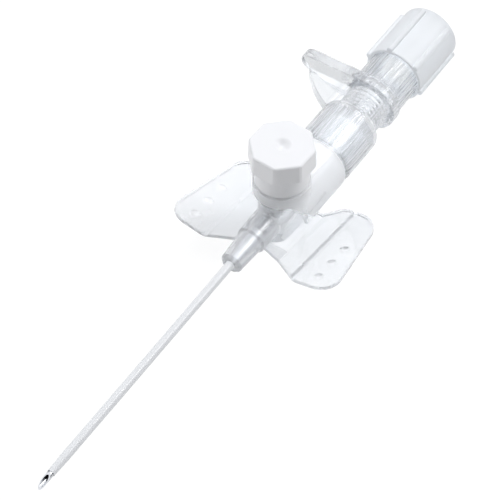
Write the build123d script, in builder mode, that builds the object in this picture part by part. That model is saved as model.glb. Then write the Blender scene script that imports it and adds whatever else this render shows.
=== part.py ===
from build123d import *
from math import atan, atan2, cos, degrees, pi, radians, sin, tan
import os

os.makedirs("parts", exist_ok=True)

# Intravenous cannula, in millimetres.
# The catheter's axis is X, with the needle's tip at -X and the luer cap at +X.
# The origin is where the catheter leaves the hub's nose, and the port stands up along +Z.

# Fits
bond_gap = 0.01
taper_gap = 0.03
slip_gap = 0.05

# Catheter
catheter_length = 45.0
catheter_r = 0.70
catheter_bore_r = 0.56
catheter_taper = 3.2
catheter_tip_r = 0.62
catheter_root = 2.4
flare_run = 1.0
flare_wall = 0.18

# Ferrule
ferrule_wall = 0.16
ferrule_length = 4.2
ferrule_bore_r = 0.62
ferrule_funnel = 0.6
ferrule_mouth_r = 1.25

# Needle
needle_r = 0.53
needle_bore_r = 0.38
needle_reach = 2.9
bevel_length = 2.7
needle_end = 37.0

# Hub nose and waist
nose_r = 1.77
nose_chamfer = 0.35
nose_length = 5.2
nose_back_r = 2.02
shoulder_r = 2.35
waist_front = 9.4
waist_half = 2.45

# Port
port_x = 13.9
valve_r = 2.00
valve_bore_r = 0.85
valve_length = 6.4
valve_front = 10.2
chimney_r = 3.20
chimney_seat = 4.0
chimney_top = 11.4
port_hole_r = 0.90
port_depth = 7.2
flow_r = 1.50

# Luer tapers, six per cent on the diameter
luer_mouth_r = 2.135
luer_slope = 0.03
luer_depth = 9.5

# Hub barrel
barrel_front = 17.4
barrel_cone = 1.2
barrel_r = 3.90
barrel_back = 23.4
socket_r = 3.35
socket_end = 31.5
lug_r = 3.92
lug_length = 3.1
lug_width = 3.6

# Wings
wing_drop = 2.16
wing_pitch = 8.54
wing_thickness = 0.55
wing_lift = 13.7
fold_y = 7.67
fold_width = 0.90
fold_depth = 0.30
rim_width = 0.60
rim_height = 0.14
wing_front = 4.2
wing_rear = 23.5
wing_span_front = 15.2
wing_span_rear = 12.3
wing_front_corner = 3.0
wing_rear_corner = 4.5
wing_front_knee = 0.5
wing_rear_knee_x = 0.3
wing_rear_knee_y = 1.6
wing_knee_corner = 2.0
root_front = 7.0
root_rear = 19.8
root_half = 3.9
belly_half = 3.2

# Port collar
ring_r = 4.40
ring_height = 2.0
collar_r = 4.50
saddle_r = 4.90
saddle_back = 22.3
saddle_front = 16.1
saddle_slope = 36.5
collar_slope = 49.0
collar_toe = 11.0
collar_hem = 0.2
saddle_lap = 2.25
ring_bevel = 0.2

# Port cap
cap_corner_r = 5.14
cap_head_height = 3.4
cap_top = 13.6
cap_draft = 2.0
cap_turn = -2.4
cap_skirt_r = 4.15
cap_bevel = 0.33
cap_dimple_r = 1.05
cap_dimple_depth = 0.45
cap_dimple_flank = 50.0
cap_plug_wall = 0.7
cap_plug_depth = 6.6
cap_gap = 0.15

# Needle hub
luer_nose_start = 22.6
collar_outer_r = 4.90
collar_wall = 0.62
collar_front = 24.8
collar_back = 34.0
collar_web = 1.3
collar_bevel = 0.7
neck_r = 3.6
plate_front = 38.5
plate_thickness = 1.9
plate_flange_r = 4.70
plate_tip_y = 10.9
plate_tip_z = 3.0
plate_tip_r = 1.5
plate_edge_share = 0.8
plate_edge_drop = 0.4
plate_root_share_y = 0.9
plate_root_share_z = 0.4
web_thickness = 2.2
web_tip_gap = 1.0
web_hollow_x = 2.3
web_hollow_y = 3.2
web_lap = 0.4
web_step = 0.1
chamber_r = 4.30
chamber_wall = 0.72
chamber_end = 50.0
neck_bore_r = 2.30
neck_bore_start = 35.2

# Vent plug and filter
plug_depth = 3.2
plug_flange = 0.8
plug_tube_r = 3.05
plug_end = 55.6
filter_thickness = 1.0
filter_r = 2.6
vent_hole_r = 0.7

# Luer cap
luer_cap_r = 4.85
luer_cap_front = 46.0
luer_cap_end = 57.5
luer_cap_floor = 1.2
luer_cap_bevel = 0.42
cap_rib_height = 0.55
cap_rib_width = 1.1
cap_rib_front = 0.4
cap_rib_back = 1.0
cap_rib_count = 6
cap_rib_turn = 18.0
cap_spigot_depth = 5.6
cap_spigot_bore_r = 1.1


def luer_r(depth):
    """Radius of a luer socket at a depth below its mouth."""
    return luer_mouth_r - luer_slope * depth


def outline(points):
    """Closed face from (x, radius) points in the plane of the axis."""
    with BuildSketch(Plane.XZ) as face:
        with BuildLine():
            Polyline(*points, close=True)
        make_face()
    return face.sketch


def below(height):
    """Face that covers the part's plan at a height, for cutting what hangs under it."""
    with BuildSketch(Plane.XY.offset(height)) as face:
        Rectangle(4 * luer_cap_end, 4 * luer_cap_end)
    return face.sketch


# Catheter tube
flare_start = catheter_root + flare_run
flare_bore_r = ferrule_bore_r + ferrule_wall + bond_gap
flare_r = flare_bore_r + flare_wall
ferrule_start = flare_start + bond_gap
ferrule_end = ferrule_start + ferrule_length
catheter_end = ferrule_end - ferrule_funnel - bond_gap

with BuildPart() as catheter_tube:
    revolve(
        outline([
            (-catheter_length, catheter_bore_r),
            (-catheter_length, catheter_tip_r),
            (-catheter_length + catheter_taper, catheter_r),
            (catheter_root, catheter_r),
            (flare_start, flare_r),
            (catheter_end, flare_r),
            (catheter_end, flare_bore_r),
            (flare_start, flare_bore_r),
            (catheter_root, catheter_bore_r),
        ]),
        axis=Axis.X,
    )
catheter_tube.part.label = "catheter_tube"
export_step(catheter_tube.part, "parts/catheter_tube.step")

# Catheter ferrule
with BuildPart() as catheter_ferrule:
    revolve(
        outline([
            (ferrule_start, ferrule_bore_r),
            (ferrule_start, ferrule_bore_r + ferrule_wall),
            (ferrule_end - ferrule_funnel, ferrule_bore_r + ferrule_wall),
            (ferrule_end, ferrule_mouth_r),
            (ferrule_end, ferrule_mouth_r - ferrule_wall),
            (ferrule_end - ferrule_funnel, ferrule_bore_r),
        ]),
        axis=Axis.X,
    )
catheter_ferrule.part.label = "catheter_ferrule"
export_step(catheter_ferrule.part, "parts/catheter_ferrule.step")

# Needle, ground to a bevel that faces up
needle_tip = -catheter_length - needle_reach
bevel_angle = degrees(atan2(2 * needle_r, bevel_length))

with BuildPart() as needle_tube:
    with BuildSketch(Plane.YZ.offset(needle_tip)):
        Circle(needle_r)
        Circle(needle_bore_r, mode=Mode.SUBTRACT)
    extrude(amount=needle_end - needle_tip)
    with BuildSketch(Plane.XZ):
        with BuildLine():
            Polyline(
                (needle_tip - needle_r, -needle_r),
                (needle_tip, -needle_r),
                (needle_tip + bevel_length, needle_r),
                (needle_tip + bevel_length, 2 * needle_r),
                (needle_tip - needle_r, 2 * needle_r),
                close=True,
            )
        make_face()
    extrude(amount=2 * needle_r, both=True, mode=Mode.SUBTRACT)
needle_tube.part.label = "needle_tube"
export_step(needle_tube.part, "parts/needle_tube.step")

# Wings
wing_tilt = radians(wing_pitch)
wing_along = Vector(cos(wing_tilt), 0, -sin(wing_tilt))
wing_up = Vector(sin(wing_tilt), 0, cos(wing_tilt))
wing_top = Plane(origin=(0, 0, -wing_drop), x_dir=wing_along, z_dir=wing_up)
wing_base = wing_top.offset(-wing_thickness)
panel_base = Plane(
    origin=wing_base.from_local_coords((0, fold_y, 0)),
    x_dir=wing_along,
    z_dir=wing_up.rotate(Axis((0, 0, 0), tuple(wing_along)), wing_lift),
)
panel_top = panel_base.offset(wing_thickness)


def wing_outline(inset):
    """One wing in plan, from the axis to its tip, drawn in from its edge by the inset."""
    front_knee = (wing_front + wing_front_knee, fold_y + wing_front_knee)
    front_tip = (wing_front, wing_span_front)
    rear_tip = (wing_rear, wing_span_rear)
    rear_knee = (wing_rear - wing_rear_knee_x, fold_y - wing_rear_knee_y)
    with BuildSketch() as plan:
        with BuildLine():
            Polyline(
                (root_front + root_half / 3, 0),
                (root_front, root_half),
                front_knee,
                front_tip,
                rear_tip,
                rear_knee,
                (root_rear, root_half),
                (root_rear, 0),
                close=True,
            )
        make_face()
        for corner, radius in (
            (front_tip, wing_front_corner),
            (rear_tip, wing_rear_corner),
            (front_knee, wing_knee_corner),
            (rear_knee, wing_knee_corner),
        ):
            fillet(plan.vertices().sort_by_distance(corner)[0], radius=radius)
        if inset:
            offset(amount=-inset, mode=Mode.REPLACE)
    return plan.sketch


def wing_strip(inner_y, outer_y, shift=0.0, inset=0.0):
    """The part of the plan between two distances from the axis, moved to start at the shift."""
    with BuildSketch() as strip:
        add(wing_outline(inset))
        with Locations((0, (inner_y + outer_y) / 2)):
            Rectangle(3 * wing_rear, outer_y - inner_y, mode=Mode.INTERSECT)
    return Pos(0, -shift, 0) * strip.sketch


with BuildPart() as wing:
    # Inner panel in the wing plane, and the outer one lifted about the fold
    extrude(wing_base * wing_strip(0, fold_y), amount=wing_thickness)
    extrude(panel_base * wing_strip(fold_y, 2 * fold_y, fold_y), amount=wing_thickness)
    # Field sunk inside the rim
    extrude(
        wing_top * wing_strip(0, fold_y, 0.0, rim_width),
        amount=-rim_height,
        mode=Mode.SUBTRACT,
    )
    extrude(
        panel_top * wing_strip(fold_y, 2 * fold_y, fold_y, rim_width),
        amount=-rim_height,
        mode=Mode.SUBTRACT,
    )
    # Fold groove
    with BuildSketch(Plane(origin=wing_top.origin, x_dir=(0, 1, 0), z_dir=-wing_along)):
        with BuildLine():
            Polyline(
                (fold_y - fold_width, -fold_depth),
                (fold_y + fold_width, -fold_depth),
                (fold_y, fold_depth),
                close=True,
            )
        make_face()
    extrude(amount=2 * wing_rear, both=True, mode=Mode.SUBTRACT)

waist_middle = waist_front + waist_half


def waist_plan(grow=0.0):
    """Plan of the waist under the port, rounded in front, drawn out by a clearance."""
    with BuildSketch() as plan:
        with Locations((waist_middle, 0)):
            Circle(waist_half + grow)
        with Locations(((waist_middle + barrel_front) / 2, 0)):
            Rectangle(barrel_front - waist_middle, 2 * waist_half + 2 * grow)
    return plan.sketch


# Catheter hub
luer_end_x = socket_end - luer_depth
valve_end = valve_front + valve_length
nose_bore_r = catheter_r + bond_gap
root_bore_r = flare_r + bond_gap
funnel_r = ferrule_mouth_r + bond_gap
valve_seat_r = valve_r + bond_gap

with BuildPart() as catheter_hub:
    # Nose and shoulder
    revolve(
        outline([
            (0, 0),
            (0, nose_r - nose_chamfer),
            (nose_chamfer, nose_r),
            (nose_length, nose_back_r),
            (nose_length + nose_chamfer, shoulder_r),
            (waist_middle, shoulder_r),
            (waist_middle, 0),
        ]),
        axis=Axis.X,
    )
    # Barrel and luer socket
    revolve(
        outline([
            (waist_middle, 0),
            (waist_middle, waist_half),
            (barrel_front - barrel_cone, waist_half),
            (barrel_front, barrel_r),
            (barrel_back, barrel_r),
            (barrel_back + barrel_cone, socket_r),
            (socket_end, socket_r),
            (socket_end, 0),
        ]),
        axis=Axis.X,
    )
    # Lugs of the socket
    with BuildSketch(Plane.YZ.offset(socket_end - lug_length)):
        Circle(lug_r)
        Rectangle(2 * lug_r, lug_width, mode=Mode.INTERSECT)
    extrude(amount=lug_length)
    # Waist under the port, with upright walls
    extrude(Pos(0, 0, chimney_seat) * waist_plan(), amount=-chimney_seat - barrel_r - wing_drop)
    # Belly under the barrel
    with BuildSketch():
        with Locations(((barrel_front - barrel_cone + root_rear) / 2, 0)):
            Rectangle(root_rear - barrel_front + barrel_cone, 2 * belly_half)
    extrude(amount=-barrel_r - wing_drop)
    extrude(wing_base * below(0), amount=-2 * barrel_r, mode=Mode.SUBTRACT)
    # Wings
    add(wing.part)
    add(mirror(wing.part, about=Plane.XZ))
    # Port chimney
    with BuildSketch(Plane.XY.offset(chimney_seat)):
        with Locations((port_x, 0)):
            Circle(chimney_r)
    extrude(amount=chimney_top - chimney_seat)
    # Bores: catheter, ferrule, valve, flow and luer
    revolve(
        outline([
            (0, 0),
            (0, nose_bore_r),
            (catheter_root, nose_bore_r),
            (flare_start, root_bore_r),
            (catheter_end, root_bore_r),
            (ferrule_end, funnel_r),
            (valve_front, funnel_r),
            (valve_front, valve_seat_r),
            (valve_end, valve_seat_r),
            (valve_end, flow_r),
            (luer_end_x, flow_r),
            (luer_end_x, luer_r(luer_depth)),
            (socket_end, luer_mouth_r),
            (socket_end, 0),
        ]),
        axis=Axis.X,
        mode=Mode.SUBTRACT,
    )
    # Luer taper of the port, and its hole down to the valve
    with BuildSketch(Plane.XY.offset(chimney_top)):
        with Locations((port_x, 0)):
            Circle(luer_mouth_r)
    extrude(amount=-port_depth, taper=degrees(atan(luer_slope)), mode=Mode.SUBTRACT)
    with BuildSketch(Plane.XY.offset(chimney_top - port_depth)):
        with Locations((port_x, 0)):
            Circle(port_hole_r)
    extrude(amount=-chimney_top + port_depth, mode=Mode.SUBTRACT)
catheter_hub.part.label = "catheter_hub"
export_step(catheter_hub.part, "parts/catheter_hub.step")

# Port valve
with BuildPart() as port_valve:
    with BuildSketch(Plane.YZ.offset(valve_front + bond_gap)):
        Circle(valve_r)
        Circle(valve_bore_r, mode=Mode.SUBTRACT)
    extrude(amount=valve_length - 2 * bond_gap)
port_valve.part.label = "port_valve"
export_step(port_valve.part, "parts/port_valve.step")

# Saddle band of the port collar, cut back at a slant in front
with BuildPart() as saddle:
    with BuildSketch(Plane.YZ.offset(port_x)):
        Circle(saddle_r)
    extrude(amount=saddle_back - port_x)
    with BuildSketch(Plane.XZ):
        with BuildLine():
            Polyline(
                (port_x, saddle_r),
                (saddle_front, saddle_r),
                (saddle_front + 2 * saddle_r * tan(radians(saddle_slope)), -saddle_r),
                (port_x, -saddle_r),
                close=True,
            )
        make_face()
    extrude(amount=2 * saddle_r, both=True, mode=Mode.SUBTRACT)

# Port collar
collar_top = chimney_seat + ring_height
hem_x = collar_toe + (chimney_seat - collar_hem) / tan(radians(collar_slope))

with BuildPart() as port_collar:
    # Ring round the chimney, carried down its sides
    with BuildSketch(Plane.XY.offset(collar_hem)):
        with Locations((port_x, 0)):
            Circle(ring_r)
    extrude(amount=collar_top - collar_hem)
    chamfer(port_collar.edges().group_by(Axis.Z)[-1], length=ring_bevel)
    # Body over the front of the barrel
    with BuildSketch(Plane.YZ.offset(port_x)):
        Circle(collar_r)
    extrude(amount=saddle_front - port_x + saddle_lap)
    # Slanted lower edge
    with BuildSketch(Plane.XZ):
        with BuildLine():
            Polyline(
                (0, chimney_seat),
                (collar_toe, chimney_seat),
                (hem_x, collar_hem),
                (hem_x, -2 * collar_r),
                (0, -2 * collar_r),
                close=True,
            )
        make_face()
    extrude(amount=2 * collar_r, both=True, mode=Mode.SUBTRACT)
    add(saddle.part)
    extrude(below(collar_hem), amount=-2 * saddle_r, mode=Mode.SUBTRACT)
    # Hollow for the barrel and the chimney
    with BuildSketch(Plane.YZ):
        Circle(barrel_r + slip_gap)
    extrude(amount=saddle_back + barrel_r, mode=Mode.SUBTRACT)
    with BuildSketch():
        with Locations((port_x, 0)):
            Circle(chimney_r + slip_gap)
    extrude(amount=2 * collar_top, mode=Mode.SUBTRACT)
    extrude(waist_plan(slip_gap), amount=chimney_seat, mode=Mode.SUBTRACT)
port_collar.part.label = "port_collar"
export_step(port_collar.part, "parts/port_collar.step")

# Port cap
cap_bottom = collar_top + cap_gap
cap_ceiling = chimney_top + cap_gap
cap_head_bottom = cap_top - cap_head_height
cap_plug_r = luer_mouth_r - taper_gap
cap_plug_start = cap_ceiling - cap_plug_depth

with BuildPart() as port_cap:
    # Eight-sided head
    with BuildSketch(Plane.XY.offset(cap_top)):
        with Locations((port_x, 0)):
            RegularPolygon(cap_corner_r, side_count=8, rotation=360 / 16 + cap_turn)
    extrude(amount=-cap_head_height, taper=cap_draft)
    chamfer(port_cap.edges().filter_by(Plane.XY, reverse=True), length=cap_bevel)
    chamfer(port_cap.edges().group_by(Axis.Z)[-1], length=cap_bevel)
    with BuildSketch(Plane.XY.offset(cap_top)):
        with Locations((port_x, 0)):
            Circle(cap_dimple_r)
    extrude(amount=-cap_dimple_depth, taper=cap_dimple_flank, mode=Mode.SUBTRACT)
    # Skirt
    with BuildSketch(Plane.XY.offset(cap_bottom)):
        with Locations((port_x, 0)):
            Circle(cap_skirt_r)
    extrude(amount=cap_head_bottom - cap_bottom)
    with BuildSketch(Plane.XY.offset(cap_bottom)):
        with Locations((port_x, 0)):
            Circle(chimney_r + slip_gap)
    extrude(amount=cap_ceiling - cap_bottom, mode=Mode.SUBTRACT)
    # Hollow luer plug
    with BuildSketch(Plane.XY.offset(cap_ceiling)):
        with Locations((port_x, 0)):
            Circle(cap_plug_r)
    extrude(amount=-cap_plug_depth, taper=degrees(atan(luer_slope)))
    with BuildSketch(Plane.XY.offset(cap_plug_start)):
        with Locations((port_x, 0)):
            Circle(cap_plug_r - cap_plug_wall - luer_slope * cap_plug_depth)
    extrude(amount=cap_plug_depth, mode=Mode.SUBTRACT)
port_cap.part.label = "port_cap"
export_step(port_cap.part, "parts/port_cap.step")

# Needle hub
collar_bore_r = collar_outer_r - collar_wall
collar_floor = collar_back - collar_web
plate_back = plate_front + plate_thickness
chamber_bore_r = chamber_r - chamber_wall
nose_male_r = luer_mouth_r - taper_gap
plate_plane = Plane.YZ.offset(plate_front)

with BuildPart() as needle_hub:
    # Luer nose
    revolve(
        outline([
            (luer_nose_start, 0),
            (luer_nose_start, nose_male_r - luer_slope * (socket_end - luer_nose_start)),
            (collar_floor, nose_male_r + luer_slope * (collar_floor - socket_end)),
            (collar_floor, 0),
        ]),
        axis=Axis.X,
    )
    # Collar round the socket
    revolve(
        outline([
            (collar_floor, 0),
            (collar_floor, collar_bore_r),
            (collar_front, collar_bore_r),
            (collar_front, collar_outer_r),
            (collar_back - collar_bevel, collar_outer_r),
            (collar_back, collar_outer_r - collar_bevel),
            (collar_back, 0),
        ]),
        axis=Axis.X,
    )
    # Neck
    with BuildSketch(Plane.YZ.offset(collar_back)):
        Circle(neck_r)
    extrude(amount=plate_front - collar_back)
    # Thumb plate
    with BuildSketch(plate_plane):
        Circle(plate_flange_r)
        with BuildLine():
            top = Line(
                (0, plate_flange_r),
                (plate_tip_y, plate_tip_z + plate_tip_r),
            )
            tip = ThreePointArc(
                top @ 1,
                (plate_tip_y + plate_tip_r, plate_tip_z),
                (plate_tip_y + plate_tip_r * cos(pi / 4), plate_tip_z - plate_tip_r * sin(pi / 4)),
            )
            edge = ThreePointArc(
                tip @ 1,
                (plate_edge_share * plate_tip_y, -plate_edge_drop),
                (plate_root_share_y * plate_flange_r, -plate_root_share_z * plate_flange_r),
            )
            Polyline(edge @ 1, (0, 0), top @ 0)
        make_face()
    extrude(amount=plate_thickness)
    # Web that braces the plate, hollowed in front for the finger
    with BuildSketch():
        with BuildLine():
            sweep_line = ThreePointArc(
                (plate_front, plate_tip_y - web_tip_gap),
                (plate_front - web_hollow_x, plate_tip_y - web_hollow_y),
                (collar_back - web_lap, collar_outer_r - web_step),
            )
            Polyline(sweep_line @ 1, (collar_back - web_lap, 0), (plate_front, 0), sweep_line @ 0)
        make_face()
    extrude(amount=web_thickness / 2, both=True)
    # Flash chamber
    with BuildSketch(Plane.YZ.offset(plate_back)):
        Circle(chamber_r)
    extrude(amount=chamber_end - plate_back)
    # Hollows
    revolve(
        outline([
            (neck_bore_start, 0),
            (neck_bore_start, neck_bore_r),
            (plate_back, neck_bore_r),
            (plate_back, chamber_bore_r),
            (chamber_end, chamber_bore_r),
            (chamber_end, 0),
        ]),
        axis=Axis.X,
        mode=Mode.SUBTRACT,
    )
    with BuildSketch(Plane.YZ.offset(luer_nose_start)):
        Circle(needle_r + bond_gap)
    extrude(amount=neck_bore_start - luer_nose_start, mode=Mode.SUBTRACT)
needle_hub.part.label = "needle_hub"
export_step(needle_hub.part, "parts/needle_hub.step")

# Vent plug
plug_front = chamber_end - plug_depth
filter_back = plug_front + filter_thickness
plug_socket_depth = plug_end - filter_back - plug_flange

with BuildPart() as vent_plug:
    revolve(
        outline([
            (plug_front, 0),
            (plug_front, chamber_bore_r - bond_gap),
            (chamber_end + bond_gap, chamber_bore_r - bond_gap),
            (chamber_end + bond_gap, chamber_r),
            (chamber_end + plug_flange, chamber_r),
            (chamber_end + plug_flange, plug_tube_r),
            (plug_end, plug_tube_r),
            (plug_end, luer_mouth_r),
            (plug_end - plug_socket_depth, luer_r(plug_socket_depth)),
            (plug_end - plug_socket_depth, 0),
        ]),
        axis=Axis.X,
    )
    with BuildSketch(Plane.YZ.offset(plug_front)):
        Circle(vent_hole_r)
    extrude(amount=plug_end - plug_front, mode=Mode.SUBTRACT)
    with BuildSketch(Plane.YZ.offset(plug_front)):
        Circle(filter_r + bond_gap)
    extrude(amount=filter_thickness + bond_gap, mode=Mode.SUBTRACT)
vent_plug.part.label = "vent_plug"
export_step(vent_plug.part, "parts/vent_plug.step")

# Vent filter
with BuildPart() as vent_filter:
    with BuildSketch(Plane.YZ.offset(plug_front)):
        Circle(filter_r)
    extrude(amount=filter_thickness)
vent_filter.part.label = "vent_filter"
export_step(vent_filter.part, "parts/vent_filter.step")

# Luer cap
luer_cap_bore_r = chamber_r + slip_gap
luer_cap_ceiling = luer_cap_end - luer_cap_floor
spigot_tip = plug_end - cap_spigot_depth
rib_length = luer_cap_end - luer_cap_front - cap_rib_front - cap_rib_back

with BuildPart() as luer_cap:
    revolve(
        outline([
            (luer_cap_front, 0),
            (luer_cap_front, luer_cap_r),
            (luer_cap_end - luer_cap_bevel, luer_cap_r),
            (luer_cap_end, luer_cap_r - luer_cap_bevel),
            (luer_cap_end, 0),
        ]),
        axis=Axis.X,
    )
    # Ribs
    with BuildSketch(Plane.YZ.offset(luer_cap_front + cap_rib_front)):
        with PolarLocations(luer_cap_r - cap_rib_height, cap_rib_count, start_angle=cap_rib_turn):
            with Locations((cap_rib_height, 0)):
                SlotOverall(2 * cap_rib_height + cap_rib_width, cap_rib_width)
    extrude(amount=rib_length)
    # Hollow and luer spigot
    with BuildSketch(Plane.YZ.offset(luer_cap_front)):
        Circle(luer_cap_bore_r)
    extrude(amount=luer_cap_ceiling - luer_cap_front, mode=Mode.SUBTRACT)
    revolve(
        outline([
            (spigot_tip, cap_spigot_bore_r),
            (spigot_tip, nose_male_r - luer_slope * cap_spigot_depth),
            (luer_cap_ceiling, nose_male_r + luer_slope * (luer_cap_ceiling - plug_end)),
            (luer_cap_ceiling, cap_spigot_bore_r),
        ]),
        axis=Axis.X,
    )
luer_cap.part.label = "luer_cap"
export_step(luer_cap.part, "parts/luer_cap.step")
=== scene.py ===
"""Looks of an intravenous cannula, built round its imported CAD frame.

Lengths inside the classes are millimetres; a finished piece is settled to metres.
"""

import logging
import math
from collections.abc import Callable, Sequence
from dataclasses import dataclass, field
from enum import Enum
from typing import ClassVar

import bpy
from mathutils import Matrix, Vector


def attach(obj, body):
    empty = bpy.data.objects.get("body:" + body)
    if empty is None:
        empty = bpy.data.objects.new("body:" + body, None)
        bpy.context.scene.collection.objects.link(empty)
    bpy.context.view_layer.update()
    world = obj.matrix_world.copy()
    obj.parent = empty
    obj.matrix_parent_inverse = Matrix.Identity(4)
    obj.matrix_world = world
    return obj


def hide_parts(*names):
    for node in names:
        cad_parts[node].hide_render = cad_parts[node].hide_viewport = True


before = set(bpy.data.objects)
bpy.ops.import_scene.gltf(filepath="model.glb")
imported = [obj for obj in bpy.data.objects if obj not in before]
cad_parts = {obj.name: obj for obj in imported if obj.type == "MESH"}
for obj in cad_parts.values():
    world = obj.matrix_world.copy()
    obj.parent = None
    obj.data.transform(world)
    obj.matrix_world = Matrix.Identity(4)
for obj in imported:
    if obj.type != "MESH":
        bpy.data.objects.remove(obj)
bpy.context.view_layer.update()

LOG = logging.getLogger("cannula")
PORT_AXIS = 13.9  # place of the port's axis along the hub
MERGE = 1e-4  # points closer than this are one

Point = tuple[float, float]
Triple = tuple[float, float, float]
Test = Callable[[Vector], bool]
Thing = bpy.types.Object
Material = bpy.types.Material
Tree = bpy.types.NodeTree
Node = bpy.types.Node
Socket = bpy.types.NodeSocket


class Along(Enum):
    """Axis that a piece is turned about."""

    HUB = "x"
    PORT = "z"


class Join(Enum):
    """What is left of a piece and a second shape."""

    BOTH = "UNION"
    REST = "DIFFERENCE"
    SHARED = "INTERSECT"


# ---- The modelling bench ----


def deselect() -> None:
    """Deselects every object, as an operator acts on all that is selected."""
    bpy.ops.object.select_all(action="DESELECT")


def take(obj: Thing) -> None:
    """Makes one object the only selected and the active one.

    Args:
        obj: Object to take.
    """
    deselect()
    obj.select_set(True)
    bpy.context.view_layer.objects.active = obj


def pick(obj: Thing, faces: bool) -> None:
    """Takes an object with nothing in it picked.

    Args:
        obj: Mesh object to edit.
        faces: True to pick faces next, False to pick points.
    """
    take(obj)
    bpy.context.tool_settings.mesh_select_mode = (not faces, False, faces)
    for part in (*obj.data.vertices, *obj.data.edges, *obj.data.polygons):
        part.select = False


def pick_points(obj: Thing, test: Test) -> None:
    """Enters edit mode with the points chosen by their place.

    Args:
        obj: Mesh object to edit.
        test: Says of a point's place whether it is picked.
    """
    pick(obj, faces=False)
    for point in obj.data.vertices:
        point.select = test(point.co)
    bpy.ops.object.mode_set(mode="EDIT")


def pick_faces(obj: Thing, test: Callable[[Vector, Vector], bool]) -> None:
    """Enters edit mode with the faces chosen by their middle and normal.

    Args:
        obj: Mesh object to edit.
        test: Says of a face's middle and normal whether it is picked.
    """
    pick(obj, faces=True)
    for face in obj.data.polygons:
        face.select = test(face.center, face.normal)
    bpy.ops.object.mode_set(mode="EDIT")


def leave() -> None:
    """Goes back to object mode."""
    bpy.ops.object.mode_set(mode="OBJECT")


def outwards() -> None:
    """Turns all faces of the mesh in edit mode outwards, and leaves it."""
    bpy.ops.mesh.select_all(action="SELECT")
    bpy.ops.mesh.normals_make_consistent(inside=False)
    leave()


def extrude(step: Triple) -> None:
    """Draws out what is picked in edit mode by a step."""
    bpy.ops.mesh.extrude_region_move(TRANSFORM_OT_translate={"value": step})


def bake() -> None:
    """Brings place, turn and size of the selected object into its mesh."""
    bpy.ops.object.transform_apply(location=True, rotation=True, scale=True)


def named(name: str) -> Thing:
    """Names the active object and its mesh.

    Args:
        name: Name for both.

    Returns:
        The active object.
    """
    obj = bpy.context.active_object
    obj.name = name
    obj.data.name = name
    return obj


def turn(
    name: str,
    profile: Sequence[Point],
    hollow: bool = False,
    along: Along = Along.HUB,
    sides: int = 96,
) -> Thing:
    """Turns a piece from a ring that is drawn out point by point.

    Args:
        name: Name of the piece.
        profile: (place along the axis, radius) points, none of them on the axis.
        hollow: True for a closed profile, such as a tube's wall.
        along: Axis that the piece is turned about.
        sides: Sides of the ring.

    Returns:
        The turned piece, closed, with its faces outwards.
    """
    hub = along is Along.HUB

    def at(place: float) -> Triple:
        """Returns the axis's point at a place."""
        return (place, 0.0, 0.0) if hub else (PORT_AXIS, 0.0, place)

    place, radius = profile[0]
    deselect()
    bpy.ops.mesh.primitive_circle_add(
        vertices=sides,
        radius=radius,
        location=at(place),
        rotation=(0.0, math.pi / 2 if hub else 0.0, 0.0),
    )
    obj = named(name)
    bake()
    pick_points(obj, lambda p: True)
    stops = list(profile[1:]) + ([profile[0]] if hollow else [])
    for new_place, new_radius in stops:
        step = new_place - place
        extrude((step, 0, 0) if hub else (0, 0, step))
        k = new_radius / radius
        if abs(k - 1) > 1e-9:
            bpy.ops.transform.resize(
                value=(1, k, k) if hub else (k, k, 1), center_override=at(new_place)
            )
        place, radius = new_place, new_radius
    bpy.ops.mesh.select_all(action="SELECT")
    bpy.ops.mesh.remove_doubles(threshold=MERGE)
    if not hollow:
        bpy.ops.mesh.fill_holes(sides=0)
    outwards()
    return obj


def rod(
    name: str, start: float, end: float, radius: float, along: Along = Along.HUB, sides: int = 96
) -> Thing:
    """Turns a plain rod.

    Args:
        name: Name of the piece.
        start: Place of its start along the axis.
        end: Place of its end.
        radius: Its radius.
        along: Axis that it lies on.
        sides: Sides of its ring.

    Returns:
        The rod.
    """
    return turn(name, [(start, radius), (end, radius)], along=along, sides=sides)


def block(name: str, low: Triple, high: Triple) -> Thing:
    """Starts a piece as a box between two corners.

    Args:
        name: Name of the piece.
        low: Lowest corner.
        high: Highest corner.

    Returns:
        The box, its place in its mesh.
    """
    deselect()
    bpy.ops.mesh.primitive_cube_add(
        size=1,
        location=tuple((a + b) / 2 for a, b in zip(low, high)),
        scale=tuple(b - a for a, b in zip(low, high)),
    )
    obj = named(name)
    bake()
    return obj


def post(
    name: str, sides: int, radius: float, depth: float, middle: Triple, turned: Triple = (0, 0, 0)
) -> Thing:
    """Starts a piece as an upright post.

    Args:
        name: Name of the piece.
        sides: Number of its sides.
        radius: Radius over its corners.
        depth: Its length.
        middle: Its middle.
        turned: Its turn, in radians.

    Returns:
        The post, its place in its mesh.
    """
    deselect()
    bpy.ops.mesh.primitive_cylinder_add(
        vertices=sides, radius=radius, depth=depth, location=middle, rotation=turned
    )
    obj = named(name)
    bake()
    return obj


def copies(first: Thing, places: Sequence[Triple]) -> list[Thing]:
    """Copies a shape to some places, each copy with its own mesh, and drops the first.

    Args:
        first: The shape, modelled about the origin.
        places: Where the copies go.

    Returns:
        The copies.
    """
    made = []
    for place in places:
        take(first)
        bpy.ops.object.duplicate(linked=False)
        made.append(named(first.name))
        made[-1].location = place
        bake()
    bpy.data.objects.remove(first)
    return made


def sheet_of(name: str, corners: Sequence[Triple]) -> Thing:
    """Makes a four-cornered face by moving a plane's corners.

    Args:
        name: Name of the piece.
        corners: Its four corners in order.

    Returns:
        The face as an object.
    """
    deselect()
    bpy.ops.mesh.primitive_plane_add(size=1)
    obj = named(name)
    for index, corner in zip((0, 1, 3, 2), corners):
        obj.data.vertices[index].co = corner
    return obj


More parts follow.
